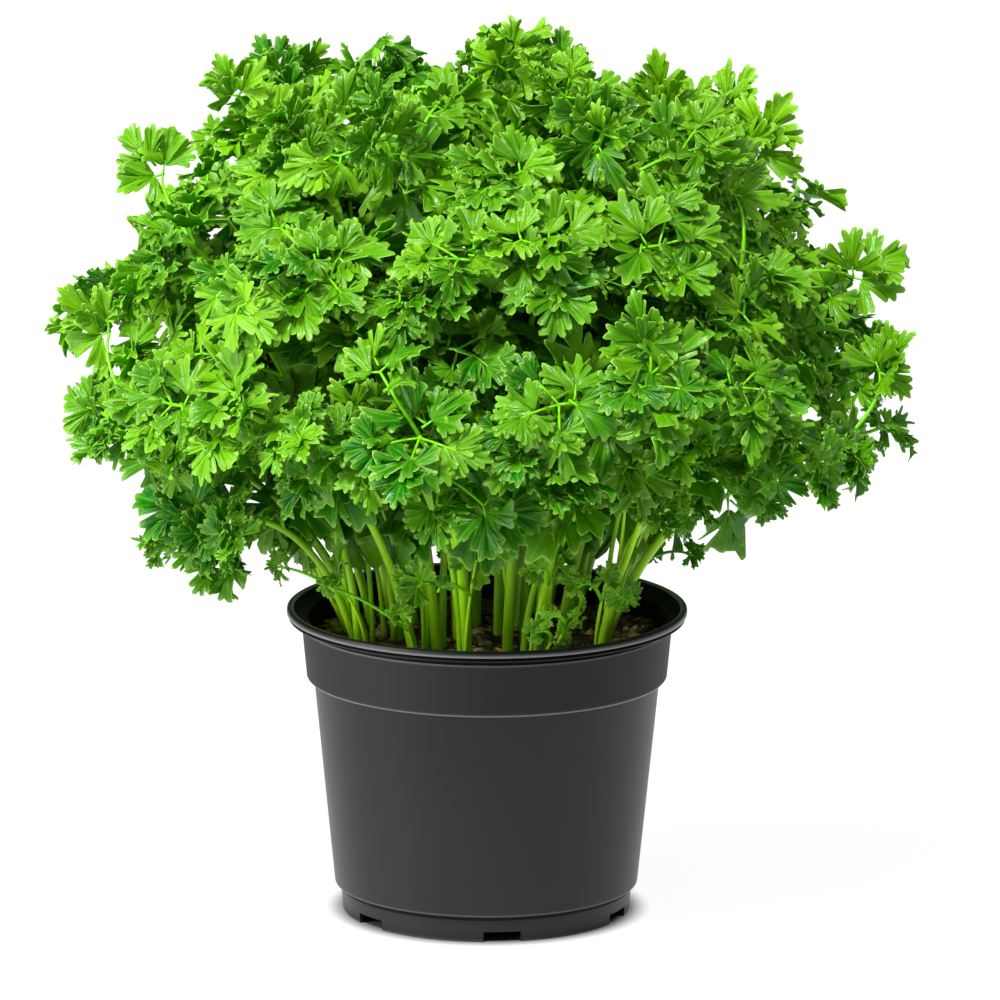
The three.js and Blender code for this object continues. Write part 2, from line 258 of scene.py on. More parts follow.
class Builder:
    """Gathers points, faces, a material number for each face and values for each point, in millimetres."""

    def __init__(self):
        self.points, self.faces, self.slots = [], [], []
        self.values = {name: [] for name in POINT_VALUES}
        self.count = 0

    def add(self, points, faces, slot=0, **values):
        n = len(points)
        self.points.append(points)
        for part in faces:
            self.faces.append(part + self.count)
            self.slots.append(np.full(len(part), slot))
        for name in POINT_VALUES:
            self.values[name].append(np.broadcast_to(values.get(name, 0.0), n))
        self.count += n

    def make(self, name, *materials):
        points = np.vstack(self.points) * MM
        widths = np.concatenate([np.full(len(part), part.shape[1]) for part in self.faces])
        corners = np.concatenate([part.ravel() for part in self.faces])
        mesh = bpy.data.meshes.new(name)
        mesh.vertices.add(len(points))
        mesh.vertices.foreach_set("co", points.ravel())
        mesh.loops.add(len(corners))
        mesh.loops.foreach_set("vertex_index", corners.astype(np.int32))
        mesh.polygons.add(len(widths))
        mesh.polygons.foreach_set("loop_start", (np.cumsum(widths) - widths).astype(np.int32))
        mesh.polygons.foreach_set("material_index", np.concatenate(self.slots).astype(np.int32))
        mesh.update(calc_edges=True)
        for key, parts in self.values.items():
            joined = np.concatenate(parts).astype(np.float32)
            if joined.any():
                mesh.attributes.new(key, "FLOAT", "POINT").data.foreach_set("value", joined)
        mesh.shade_smooth()
        for material in materials:
            mesh.materials.append(material)
        return placed(name, mesh)


def grid_faces(rows, columns, start=0, closed=False):
    """Quads over a grid of rows by columns of points, whose columns may close into a ring."""
    r, c = np.meshgrid(np.arange(rows - 1), np.arange(columns - (not closed)), indexing="ij")
    n = (c + 1) % columns
    quads = np.stack([r * columns + c, r * columns + n, (r + 1) * columns + n, (r + 1) * columns + c], -1)
    return quads.reshape(-1, 4) + start


# ---- stems ----
STEM_SIDES = 10
RIBS = 5
RIB_DEPTH = 0.07


def tube(builder, path, radii, sides, across, ribbed=0.0, height=1.0, shade=0.5):
    """A round bar along a path of points, closed at both ends."""
    path, radii = np.asarray(path), np.asarray(radii)
    tangents = np.gradient(path, axis=0)
    tangents /= np.linalg.norm(tangents, axis=1)[:, None]
    side = across - tangents * (tangents @ across)[:, None]
    side /= np.linalg.norm(side, axis=1)[:, None]
    rise = np.cross(tangents, side)
    turn = np.linspace(0, 2 * math.pi, sides, endpoint=False)
    shape = 1 + ribbed * np.cos(RIBS * turn)
    ring = side[:, None] * (np.cos(turn) * shape)[None, :, None]
    ring = ring + rise[:, None] * (np.sin(turn) * shape)[None, :, None]
    points = (path[:, None] + ring * radii[:, None, None]).reshape(-1, 3)
    first = np.arange(sides)[None]
    last = first + sides * (len(path) - 1)
    faces = [grid_faces(len(path), sides, closed=True), first[:, ::-1], last]
    heights = np.repeat(np.broadcast_to(height, len(path)), sides)
    builder.add(points, faces, 1, height=heights, shade=shade)


def quadratic(path, t):
    """The curve through a branch's start, middle and end."""
    start, middle, end = path
    bend = 2 * middle - (start + end) / 2
    t = np.asarray(t)[:, None]
    return (1 - t) ** 2 * start + 2 * t * (1 - t) * bend + t**2 * end


# ---- leaflets ----
# A leaflet is drawn flat at unit length and then bent. Its lobes fan out from the base, and round teeth
# stand round the end and the sides of each. The grid's columns run like veins, from the leaflet's base
# to one point of the edge, and are drawn towards the lobe's hub on the way.
RHOS = np.array([0.1, 0.46, 0.78, 0.95, 1.0])[:, None]
# Direction in degrees, length and number of teeth of each lobe, and the turns at its hub, in degrees from
# its rib, of its first and last tooth.
LOBES = {
    "fan": [(-58, 0.84, 5, -84, 42), (0, 1.0, 5, -74, 74), (58, 0.84, 5, -42, 84)],
    "three": [(-56, 0.84, 4, -76, 34), (0, 1.0, 5, -72, 72), (56, 0.84, 4, -34, 76)],
    "plain": [(-50, 0.85, 2, -50, 14), (0, 1.0, 3, -58, 58), (50, 0.85, 2, -14, 50)],
}
# The teeth's radius and points, how far the middle point stands out, the notch between two teeth and how
# much nearer the hub the outer teeth are.
TOOTH = Values(round=0.064, points=(-64, 0, 64), middle=1.12, notch=0.1, aside=0.26)
# The hub's place along its rib, its pull on the columns, and the depth and fold of the cut between lobes.
HUB = 0.55
PULL = 0.42
SINUS = 0.4
SINUS_FOLD = 0.35
VEIN = Values(wide=0.022, fade=0.5, in_teeth=0.7)
FORM_SCATTER = Values(
    axis=6, turn=4, length=(0.87, 1.1), tip=(0.92, 1.07), notch=(0.8, 1.3), sinus=(0.85, 1.15)
)
VARIANTS = 12


def polar(degrees, r):
    a = math.radians(degrees)
    return np.array([math.cos(a), math.sin(a)]) * r


def leaflet_form(lobes, rng):
    """The flat grid of one leaflet, with its ribs, its edge and which tooth each column ends in."""
    columns = []
    axes = [axis + either_way(rng, FORM_SCATTER.axis) for axis, *_ in lobes]
    lengths = [length * rng.uniform(*FORM_SCATTER.length) for _, length, *_ in lobes]
    tooth_number = 0
    for j, (_, _, teeth, first, last) in enumerate(lobes):
        hub = polar(axes[j], HUB * lengths[j])
        turns = np.linspace(first, last, teeth) + either_way(rng, FORM_SCATTER.turn, teeth)
        near = 1 - TOOTH.aside * np.sin(np.radians(turns)) ** 2
        tips = lengths[j] * (1 - HUB) * near * rng.uniform(*FORM_SCATTER.tip, teeth)
        for i, (turn, tip) in enumerate(zip(turns, tips)):
            middle = hub + polar(axes[j] + turn, tip - TOOTH.round)
            for step in TOOTH.points:
                reach = TOOTH.round * (TOOTH.middle if step == 0 else 1)
                end = middle + polar(axes[j] + turn + step, reach)
                columns.append((end, hub, PULL, j, tooth_number, float(step == 0)))
            tooth_number += 1
            if i + 1 < teeth:
                depth = min(tip, tips[i + 1]) - TOOTH.notch * rng.uniform(*FORM_SCATTER.notch)
                end = hub + polar(axes[j] + (turn + turns[i + 1]) / 2, depth)
                columns.append((end, hub, PULL, j, -1, 0.0))
        if j + 1 < len(lobes):
            between = (axes[j] + axes[j + 1]) / 2
            end = polar(between, SINUS * min(lengths[j], lengths[j + 1]) * rng.uniform(*FORM_SCATTER.sinus))
            columns.append((end, end, 0, j + 0.5, -1, 0.0))
    ends, hubs, pull, lobe_of, tooth_of, rib = (np.array(values) for values in zip(*columns))
    controls = ends * (0.5 - 0.5 * pull[:, None]) + hubs * pull[:, None]
    rho = RHOS[..., None]
    flat = 2 * rho * (1 - rho) * controls + rho**2 * ends
    axis = np.radians(np.interp(lobe_of, np.arange(len(lobes)), axes))
    off_rib = flat[..., 1] * np.cos(axis) - flat[..., 0] * np.sin(axis)
    vein = np.exp(-((off_rib / VEIN.wide) ** 2)) * (1 - VEIN.fade * RHOS)
    return Values(
        x=flat[..., 0],
        y=flat[..., 1],
        off_rib=np.where(lobe_of % 1 > 0, SINUS * SINUS_FOLD * RHOS, off_rib),
        vein=np.maximum(vein, VEIN.in_teeth * rib * np.clip(RHOS * 2 - 0.6, 0, 1)),
        rib=rib,
        lobe=lobe_of,
        lobes=len(lobes),
        tooth=tooth_of,
        teeth=tooth_number,
    )


form_rng = np.random.default_rng(SEEDS.forms)
FORMS = {kind: [leaflet_form(lobes, form_rng) for _ in range(VARIANTS)] for kind, lobes in LOBES.items()}
# The blade's thickness in its middle and at its edge, in millimetres.
BLADE = Values(thick=0.42, edge=0.2)
# How a blade of unit length is stretched and bent.
BENT = Values(
    width=(0.88, 1.1), pitch=0.3, pitch_from=0.25, curl=0.085, sinus_curl=0.02,
    fold=(0.05, 0.4), fold_round=0.0008, fold_base=0.028, cup=(-0.15, 0.3), cup_round=0.01,
    channel=(0.0, 0.014), wave=0.055, waves_across=(9, 15), waves_along=(6, 12),
    phase=(0, 6.3), droop=(0.6, 1.4),
)


def leaflet(builder, kind, base, forward, across, normal, length, rng, droop, shade):
    """One leaflet as a closed thin blade: lobes channelled and turned, teeth curled, the whole bent."""
    form = FORMS[kind][rng.integers(VARIANTS)]
    x = form.x
    y = form.y * rng.uniform(*BENT.width)
    rows, columns = x.shape
    pitch = np.interp(form.lobe, np.arange(form.lobes), rng.normal(0.0, BENT.pitch, form.lobes))
    curl = np.append(rng.normal(0.0, BENT.curl, form.teeth), BENT.sinus_curl)[form.tooth]
    fold = rng.uniform(*BENT.fold)
    z = fold * (np.sqrt(form.off_rib ** 2 + BENT.fold_round) - BENT.fold_base)
    z = z + rng.uniform(*BENT.cup) * np.sqrt(y * y + BENT.cup_round)
    z = z + pitch * np.clip(np.hypot(x, y) - BENT.pitch_from, 0, None)
    z = z + curl * RHOS**4
    z = z + rng.uniform(*BENT.channel) * (0.4 - form.rib) * np.sin(math.pi * RHOS**1.5)
    waves = rng.uniform(*BENT.waves_across) * y + rng.uniform(*BENT.waves_along) * x
    z = z + BENT.wave * RHOS**2 * np.sin(waves + rng.uniform(*BENT.phase))
    bend = droop * rng.uniform(*BENT.droop)
    turn = bend * x
    half = (BLADE.edge + (BLADE.thick - BLADE.edge) * (1 - RHOS**3)) / (2 * length)
    n = rows * columns
    sheets = []
    for side in (1, -1):
        lift = z + side * half
        along = np.sin(turn) / bend + lift * np.sin(turn)
        up = -(1 - np.cos(turn)) / bend + lift * np.cos(turn)
        spread = along[..., None] * forward + y[..., None] * across + up[..., None] * normal
        sheets.append((base + length * spread).reshape(-1, 3))
    index = np.arange(n).reshape(rows, columns)
    border = np.concatenate([index[0], index[1:, -1], index[-1, -2::-1], index[-2:0:-1, 0]])
    following = np.roll(border, -1)
    rim = np.stack([border, following, following + n, border + n], -1)
    faces = grid_faces(rows, columns)
    builder.add(
        np.vstack(sheets),
        [faces, faces[:, ::-1] + n, rim[:, ::-1]],
        vein=np.tile(form.vein.ravel(), 2),
        edge=np.tile(np.broadcast_to(RHOS**30, (rows, columns)).ravel(), 2),
        under=np.repeat([0.0, 1.0], n),
        shade=shade,
    )


def aimed(forward, across, normal, yaw, tilt, roll):
    """A leaflet's three directions after a turn, a tilt towards its normal and a roll."""
    f = forward * math.cos(yaw) + across * math.sin(yaw)
    s = np.cross(normal, f)
    f, n = rotated(f, s, -tilt), rotated(normal, s, -tilt)
    return f, rotated(s, f, roll), rotated(n, f, roll)


# A compound leaflet's own leaflets: place along its stalk, length, direction in degrees and kind.
COMPOUND = [(0.4, 0.62, 0, "fan"), (0.2, 0.55, -56, "three"), (0.27, 0.55, 54, "three")]
# Its stalk: places along it and radii in millimetres.
COMPOUND_STALK = [(0, 0.55), (0.15, 0.5), (0.3, 0.42), (0.42, 0.34), (0.52, 0.2)]
STALK_SIDES = 5
COMPOUND_SCATTER = Values(
    turn=12, tilt=(-0.35, 0.5), roll=0.55, length=(0.88, 1.1), droop=(0.3, 0.9), shade=0.1
)
# Heights at the crown from which heads have no inner leaflets, are cupped downward, and tilt their level
# compound leaflets down.
CROWN = Values(open_from=311.0, cupped_from=299.0, cupped=-0.85, low_from=303.0, level=0.6, tilt=0.1)


def compound_leaflet(builder, base, forward, across, normal, length, rng, droop, shade):
    """A leaflet cut into three smaller ones on a slim bent stalk."""

    def station(part):
        turn = droop * part
        along, up = math.sin(turn), 1 - math.cos(turn)
        ahead = forward * math.cos(turn) - normal * math.sin(turn)
        return base + (forward * along - normal * up) * length / droop, ahead

    for part, size, degrees, kind in COMPOUND:
        place, ahead = station(part)
        yaw = math.radians(degrees + either_way(rng, COMPOUND_SCATTER.turn))
        tilt, roll = rng.uniform(*COMPOUND_SCATTER.tilt), either_way(rng, COMPOUND_SCATTER.roll)
        if base[2] > CROWN.low_from and abs(normal[2]) > CROWN.level:
            tilt = min(tilt, 0) - CROWN.tilt
        f, s, n = aimed(ahead, across, np.cross(ahead, across), yaw, tilt, roll)
        own = length * size * rng.uniform(*COMPOUND_SCATTER.length)
        own_droop = rng.uniform(*COMPOUND_SCATTER.droop)
        tone = shade + either_way(rng, COMPOUND_SCATTER.shade)
        leaflet(builder, kind, place, f, s, n, own, rng, own_droop, tone)
    path = [station(part)[0] for part, _ in COMPOUND_STALK]
    tube(builder, path, [radius for _, radius in COMPOUND_STALK], STALK_SIDES, across, shade=shade)


# Direction in degrees, part of the head's size, place along the twig, kind, least and most tilt towards
# the head's normal.
MAIN_LEAFLETS = [
    (-66, 0.9, 0, "compound", -0.3, 0.55),
    (0, 1.0, 0, "compound", -0.3, 0.45),
    (66, 0.9, 0, "compound", -0.3, 0.55),
]
BACK_LEAFLETS = [(-118, 0.66, -0.2, "three", 0.0, 0.5), (122, 0.66, -0.14, "three", 0.0, 0.5)]
INNER_LEAFLETS = [
    (-34, 0.6, 0.05, "three", 0.45, 1.0),
    (36, 0.56, 0.1, "three", 0.5, 1.1),
    (170, 0.5, -0.1, "three", 0.5, 1.2),
]
SMALL_LEAFLETS = [
    (-60, 0.88, 0, "three", -0.1, 0.5),
    (0, 0.95, 0.2, "fan", -0.15, 0.4),
    (60, 0.88, 0, "three", -0.1, 0.5),
]
PLAIN_LEAFLETS = [
    (-62, 0.95, 0, "plain", -0.2, 0.6),
    (0, 1.0, 0.15, "plain", -0.2, 0.5),
    (62, 0.95, 0, "plain", -0.2, 0.6),
    (150, 0.8, 0, "plain", 0.2, 0.9),
]
LITTLE_PAIR = [(-96, 0.66, -0.5, "three", 0.0, 0.6), (98, 0.66, -0.42, "three", 0.0, 0.6)]
# A leaflet's stalk: its part of the leaflet's length, its reach into head and blade, and its radii.
STALK = Values(part=0.15, into_head=0.5, into_blade=0.14, radii=(0.55, 0.48, 0.25))
HEAD_SCATTER = Values(cupped=(-0.05, 0.35), roll=0.45, droop=(0.4, 1.0), tilt_droop=0.5, shade=0.16)


def leaf_head(builder, head, rng, shade, plan, jitter):
    """The leaflets of one head, each on its short stalk."""
    size = head.size
    cupped = rng.uniform(*HEAD_SCATTER.cupped)
    if head.root[2] > CROWN.cupped_from and not head.upright:
        cupped = CROWN.cupped
    for degrees, part, along, kind, low, high in plan:
        yaw = math.radians(degrees + either_way(rng, jitter))
        tilt = rng.uniform(low, high) + cupped
        roll = either_way(rng, HEAD_SCATTER.roll)
        f, s, n = aimed(head.forward, head.across, head.normal, yaw, tilt, roll)
        root = head.root + head.forward * along * size
        stalk = size * STALK.part * part
        base = root + f * stalk
        length = size * part - stalk
        droop = rng.uniform(*HEAD_SCATTER.droop) + HEAD_SCATTER.tilt_droop * max(tilt, 0)
        tone = shade + either_way(rng, HEAD_SCATTER.shade)
        if kind == "compound":
            compound_leaflet(builder, base, f, s, n, length, rng, droop, tone)
        else:
            leaflet(builder, kind, base, f, s, n, length, rng, droop, tone)
        path = [root - f * STALK.into_head, root + f * stalk * 0.5, base + f * length * STALK.into_blade]
        tube(builder, path, STALK.radii, STALK_SIDES, s, shade=shade)


# ---- extra foliage between the frame's heads ----
DOME = Values(centre=np.array([0.0, 0.0, 212.0]), wide=155.0, up=127.0, down=98.0)
# How far out in the dome each layer of extra heads is, how many places are tried, how far apart they
# are and the least and most size of a head.
LAYERS = [(0.87, 460, 23, 18, 23.9), (0.7, 420, 20, 24, 31), (0.48, 260, 21, 26, 34)]
LAYER_SCATTER = (0.93, 1.07)
# Heads above this size are the plain ones of the inner layers.
INNER_SIZE = 24
LOWEST_HEAD = {"front": 168.0, "elsewhere": 142.0}
# Heads that reach past the dome on long stalks, as places in millimetres.
OUTLYING = [
    (-125, 8, 287), (-97, -6, 317), (-145, 6, 228), (-147, -8, 194), (144, -16, 247), (149, -24, 218),
    (-104, -48, 148), (-98, -34, 133), (108, -6, 291), (60, -4, 314), (128, -40, 176), (-118, -36, 160),
    (-60, 84, 296), (120, 84, 262), (-122, 90, 246), (18, 140, 230), (-50, -8, 306), (90, -30, 288),
    (31, -10, 323), (3, -14, 325), (-22, -10, 305), (-74, -10, 304),
]
# Heads at the front of the outline and of the crown stand upright like open fans: where they face and how
# freely, how much they point up and along their twig, and which of the crown's heads do so, at what size.
FACING = Values(front=np.array([0.0, -1.0, 0.3]), turn=38, up=0.45, along=0.3, back_from=20)
UPRIGHT = Values(above=297, below=325, before=60, size=0.78, top=341, least=12)
# Hollows in the outline that extra heads keep out of, and where the stems' own heads are small: X, height
# as seen from the front, and radius.
HOLLOWS = [
    (122, 270, 21), (150, 182, 34), (118, 142, 27), (-152, 166, 28), (-53, 294, 12), (-40, 302, 10),
    (68, 301, 12), (80, 290, 9), (150, 275, 12), (-124, 268, 9), (-4, 326, 14), (-80, 327, 10),
    (82, 138, 28), (-130, 136, 16),
]
HOLLOW_SIZE = 0.66
OUTLYING_SIZE = (18.5, 23.5)
# What a millimetre nearer the camera takes off a point's height as seen from the front.
SEEN_LIFT = 0.24
TWIG_STARTS = np.linspace(0.3, 0.96, 23)
TURN_COST = 0.7
SIDE_TWIG = Values(attempt=5, arch=0.16, head_reach=0.45)


def in_hollow(place):
    seen = place[2] + SEEN_LIFT * place[1]
    return any(math.hypot(place[0] - x, seen - height) < radius for x, height, radius in HOLLOWS)


def canopy_places(taken, rng):
    """Places and sizes of extra heads, spread evenly in layers of the dome and clear of its other heads."""
    places = [(np.array(place, dtype=float), rng.uniform(*OUTLYING_SIZE)) for place in OUTLYING]
    taken.extend(place for place, _ in places)
    golden = math.pi * (3 - math.sqrt(5))
    for layer, tried, apart, least, most in LAYERS:
        for i in range(tried):
            z = 1 - 2 * (i + 0.5) / tried
            wide = DOME.wide * math.sqrt(1 - z * z)
            tall = DOME.up if z > 0 else DOME.down
            reach = layer * rng.uniform(*LAYER_SCATTER)
            offset = np.array([wide * math.cos(golden * i), wide * math.sin(golden * i), tall * z])
            place = DOME.centre + reach * offset
            front = place[1] < -0.5 * np.hypot(place[0], place[1])
            low = place[2] < LOWEST_HEAD["front" if front else "elsewhere"]
            if low or in_hollow(place) or min(np.linalg.norm(place - other) for other in taken) < apart:
                continue
            taken.append(place)
            places.append((place, rng.uniform(least, most)))
    return places


def nearest_stem(stems, place):
    """The stem, and the point on it, from which a side twig reaches a place most naturally."""
    best = None
    for stem in stems:
        for t in TWIG_STARTS:
            start = bezier(stem.curve, t)
            away = place - start
            length = np.linalg.norm(away)
            cost = length * (1 + TURN_COST * (1 - np.dot(away, slope(stem.curve, t)) / length))
            if best is None or cost < best[0]:
                best = (cost, stem, t)
    return best[1], best[2]


def stand_up(head, rng):
    """Turns a head so that it opens like a fan, outward and up, with its upper side to the front."""
    out = unit((head.root - DOME_CENTRE) * [1, 0, 1])
    forward = unit(out + UP * FACING.up + head.forward * FACING.along)
    front = rotated(FACING.front, UP, math.radians(rng.uniform(-1, 1) * FACING.turn))
    normal = unit(front - forward * np.dot(front, forward))
    head.forward, head.normal, head.across, head.upright = forward, normal, np.cross(normal, forward), True
    room = UPRIGHT.top - head.root[2] - SEEN_LIFT * head.root[1]
    head.size = min(head.size, max(room, UPRIGHT.least))


def grow_side_twigs(stems, rng):
    """Gives each stem the side twigs whose heads fill the canopy round it."""
    taken = [head.root + head.forward * head.size * 0.5 for stem in stems for _, _, head in stem.twigs]
    for i, (place, size) in enumerate(canopy_places(taken, rng)):
        stem, t = nearest_stem(stems, place)
        start, along = bezier(stem.curve, t), slope(stem.curve, t)
        away = unit(place - start)
        end = place - away * size * SIDE_TWIG.head_reach
        length = np.linalg.norm(end - start)
        middle = (start + end) / 2 + along * SIDE_TWIG.arch * length
        whole = size / (1 - SIDE_TWIG.attempt * HEAD.shrink)
        head = pose_head(end, unit(end - middle), whole, SIDE_SEEDS[i], SIDE_TWIG.attempt)
        if i < len(OUTLYING) and place[1] < FACING.back_from:
            stand_up(head, rng)
        stem.side_twigs.append(([start, middle, end], head))


# A stem's stations above and below its shoulder, and how its radius compares with the frame's.
FINE_STEM = Values(stations=26, foot_stations=6, foot=(0.78, 1.0), top=0.9, fall=0.8, tone=(0.35, 0.65))
BRANCH_TUBE = Values(thick=1.05, loss=0.45, sides=7, ribbed=0.05, collar=1.25)
TWIG_TUBE = Values(thick=0.9, loss=0.4, sides=6, ribbed=0.0, collar=1)
COLOUR_SPAN = 200
HEAD_JITTER = {"main": 6, "side": 14}


def branch_tube(builder, branch, across, form, tone):
    along = np.linspace(0, 1, 9)
    points = quadratic(branch, along)
    thick = form.thick - form.loss * along
    thick[0] *= form.collar
    tube(builder, points, thick, form.sides, across, form.ribbed, points[:, 2] / COLOUR_SPAN, tone)


def make_leafy_stem(stem, index, materials):
    rng = np.random.default_rng(SEEDS.stem + index)
    builder = Builder()
    tone = rng.uniform(*FINE_STEM.tone)
    t = np.linspace(0, 1, FINE_STEM.stations)
    below = np.linspace(0, 0.9, FINE_STEM.foot_stations)
    start = [stem.bottom + stem.rise * STEM.straight * k for k in below]
    path = np.array(start + [bezier(stem.curve, k) for k in t])
    foot, top = rng.uniform(*FINE_STEM.foot) * STEM.foot, STEM.top * FINE_STEM.top
    radii = np.r_[np.full(len(below), foot), foot + (top - foot) * t ** FINE_STEM.fall]
    height = (path[:, 2] - SOIL_LEVEL) / COLOUR_SPAN
    tube(builder, path, radii, STEM_SIDES, stem.across, RIB_DEPTH, height, tone)
    for _, branch, head in stem.twigs:
        if len(branch):
            branch_tube(builder, branch, head.across, BRANCH_TUBE, tone)
        if UPRIGHT.above < head.root[2] < UPRIGHT.below and head.root[1] < UPRIGHT.before:
            head.size *= UPRIGHT.size
            stand_up(head, rng)
        if in_hollow(head.root):
            head.size *= HOLLOW_SIZE
        inner = rng.integers(0, 3) if head.root[2] < CROWN.open_from else 0
        plan = MAIN_LEAFLETS + BACK_LEAFLETS + INNER_LEAFLETS[:inner]
        leaf_head(builder, head, rng, tone, plan, HEAD_JITTER["main"])
    for branch, head in stem.side_twigs:
        branch_tube(builder, branch, head.across, TWIG_TUBE, tone)
        plan = SMALL_LEAFLETS + LITTLE_PAIR[: rng.integers(0, 3)]
        if head.size > INNER_SIZE:
            plan = PLAIN_LEAFLETS
        leaf_head(builder, head, rng, tone + rng.uniform(-0.1, 0.15), plan, HEAD_JITTER["side"])
    piece = builder.make("fine_" + stem.name, *materials)
    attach(piece, "root")
    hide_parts(stem.name)


# ---- young leaves between the leafy stems ----
YOUNG = Values(
    count=64, pieces=4, most=60, beside=(3.2, 6), apart=3.1, foot=(0.8, 1.7), depth=5,
    size=(16, 23), spread=(0.25, 0.55), turn=0.9, tone=(0.45, 0.75), taper=0.55, attempt=4,
)
# Young stems that leave a leafy stem, and the side heads of each.
FORK = Values(share=0.45, height=(4, 46), thick=0.75, lean=(0.15, 0.4))
SIDE_HEAD = Values(at=(0.62, 0.88), ahead=(0.4, 1.0), outward=0.3, length=(18, 34), arch=3, size=0.9)
YOUNG_HEIGHT = {"front": (178, 262), "elsewhere": (160, 250)}
# Low sprigs inside the rim: foot and head places in millimetres, and the head's size.
LOW_SPRIGS = [
    ((-44, -38), (-56, -50, 138), 12),
    ((20, -50), (27, -60, 120), 9),
    ((24, -46), (34, -56, 126), 8),
    ((44, -30), (53, -36, 129), 9),
    ((-8, -50), (-4, -58, 147), 16),
    ((16, -44), (26, -50, 143), 10),
    ((40, -44), (44, -50, 137), 9),
    ((-26, -48), (-32, -56, 126), 8),
    ((-6, 50), (-14, 60, 128), 11),
    ((48, 30), (60, 38, 130), 10),
]


def grow_young(builder, foot, top, size, thick, seed, rng, forks, leave=UP):
    """A thin stem from the soil, or from a leafy stem, to a head, with a side head at each fork."""
    reach = top - foot
    arrive = reach * [1, 1, 0] * 0.5 + UP * 0.25 * reach[2]
    curve = [foot, foot + leave * 0.45 * reach[2], top - arrive, top]
    t = np.linspace(0, 1, 18)
    path = np.array([bezier(curve, k) for k in t])
    across = unit(np.cross(UP, reach + np.array([0.1, 0, 0])))
    tone = rng.uniform(*YOUNG.tone)
    height = (path[:, 2] - SOIL_LEVEL) / COLOUR_SPAN
    tube(builder, path, thick * (1 - YOUNG.taper * t), 8, across, 0.05, height, tone)
    ends = [(None, pose_head(top, slope(curve, 1), size, seed, YOUNG.attempt))]
    for k in range(forks):
        at = rng.uniform(*SIDE_HEAD.at)
        start, along = bezier(curve, at), slope(curve, at)
        side = across * (1 if k % 2 else -1) + along * rng.uniform(*SIDE_HEAD.ahead)
        side = side + unit(start * [1, 1, 0]) * SIDE_HEAD.outward
        end = start + unit(side) * rng.uniform(*SIDE_HEAD.length)
        middle = (start + end) / 2 + along * SIDE_HEAD.arch
        head_size, fork_seed = size * SIDE_HEAD.size, seed + FORK_SEEDS[k]
        head = pose_head(end, unit(end - middle), head_size, fork_seed, YOUNG.attempt)
        ends.append(([start, middle, end], head))
    for branch, head in ends:
        if branch:
            points = quadratic(branch, np.linspace(0, 1, 8))
            tube(builder, points, np.linspace(0.75, 0.5, 8), 6, across, shade=tone)
        plan = SMALL_LEAFLETS + LITTLE_PAIR[: rng.integers(0, 3)]
        leaf_head(builder, head, rng, tone, plan, HEAD_JITTER["side"])


def on_stem(stem, height):
    """The point of a leafy stem at a height, and the stem's direction there."""
    t = min(np.linspace(0, 0.6, 61), key=lambda k: abs(bezier(stem.curve, k)[2] - height))
    return bezier(stem.curve, t), slope(stem.curve, t)


def make_young_leaves(stems, materials):
    """The young stems in equal shares, and the low sprigs as a piece of their own."""
    rng = np.random.default_rng(SEEDS.young)
    builders = [Builder() for _ in range(YOUNG.pieces + 1)]
    feet = [stem.bottom[:2] for stem in stems]
    bottom = SOIL_LEVEL - YOUNG.depth
    for i, (foot, top, size) in enumerate(LOW_SPRIGS):
        foot, top = np.array([*foot, bottom]), np.array(top, dtype=float)
        grow_young(builders[-1], foot, top, size, 0.9, LOW_SEEDS[i], rng, 1)
    grown = 0
    while grown < YOUNG.count:
        stem = stems[rng.integers(len(stems))]
        forked = rng.random() < FORK.share
        turn = rng.uniform(0, 2 * math.pi)
        foot = stem.bottom[:2] + level(turn)[:2] * rng.uniform(*YOUNG.beside)
        if forked:
            start, leave = on_stem(stem, SOIL_LEVEL + rng.uniform(*FORK.height))
            foot = start[:2]
            leave = unit(leave + level(turn) * rng.uniform(*FORK.lean))
        else:
            start, leave = np.array([*foot, bottom]), UP
            if min(np.linalg.norm(foot - other) for other in feet) < YOUNG.apart:
                continue
        r = np.linalg.norm(foot)
        if r > YOUNG.most:
            continue
        feet.append(foot)
        turn = math.atan2(foot[1], foot[0])
        height = rng.uniform(*YOUNG_HEIGHT["front" if foot[1] < 0 else "elsewhere"])
        spread = (height - SOIL_LEVEL) * rng.uniform(*YOUNG.spread) * (0.4 + r / 60)
        turn += either_way(rng, YOUNG.turn)
        top = np.array([*(foot + level(turn)[:2] * spread), height])
        thick = rng.uniform(*YOUNG.foot) * (FORK.thick if forked else 1)
        size, seed = rng.uniform(*YOUNG.size), YOUNG_SEEDS[grown]
        builder = builders[grown * YOUNG.pieces // YOUNG.count]
        grow_young(builder, start, top, size, thick, seed, rng, rng.integers(1, 3), leave)
        grown += 1
    for i, builder in enumerate(builders):
        piece = builder.make(f"young_leaves_{i + 1}", *materials)
        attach(piece, "root")


# ---- materials ----
def new_material(name):
    material = bpy.data.materials.new(name)
    material.use_nodes = True
    tree = material.node_tree
    return material, tree, tree.nodes["Principled BSDF"]


def node(tree, kind, **settings):
    made = tree.nodes.new(kind)
    for key, value in settings.items():
        setattr(made, key, value)
    return made


def attribute(tree, name):
    return node(tree, "ShaderNodeAttribute", attribute_name=name).outputs["Fac"]


def feed(tree, inputs, values):
    """Gives a node's inputs their values: another node's output, a colour or a number."""
    for key, value in values.items():
        if hasattr(value, "is_linked"):
            tree.links.new(value, inputs[key])
        elif inputs[key].type == "RGBA":
            inputs[key].default_value = (*value, 1)
        else:
            inputs[key].default_value = value


def math_node(tree, operation, a, b):
    made = node(tree, "ShaderNodeMath", operation=operation)
    feed(tree, made.inputs, {0: a, 1: b})
    return made.outputs[0]


def plus(tree, a, b):
    return math_node(tree, "ADD", a, b)


def times(tree, a, b):
    return math_node(tree, "MULTIPLY", a, b)


def mixed(tree, factor, a, b):
    made = node(tree, "ShaderNodeMix", data_type="RGBA")
    feed(tree, made.inputs, {0: factor, 6: a, 7: b})
    return made.outputs[2]


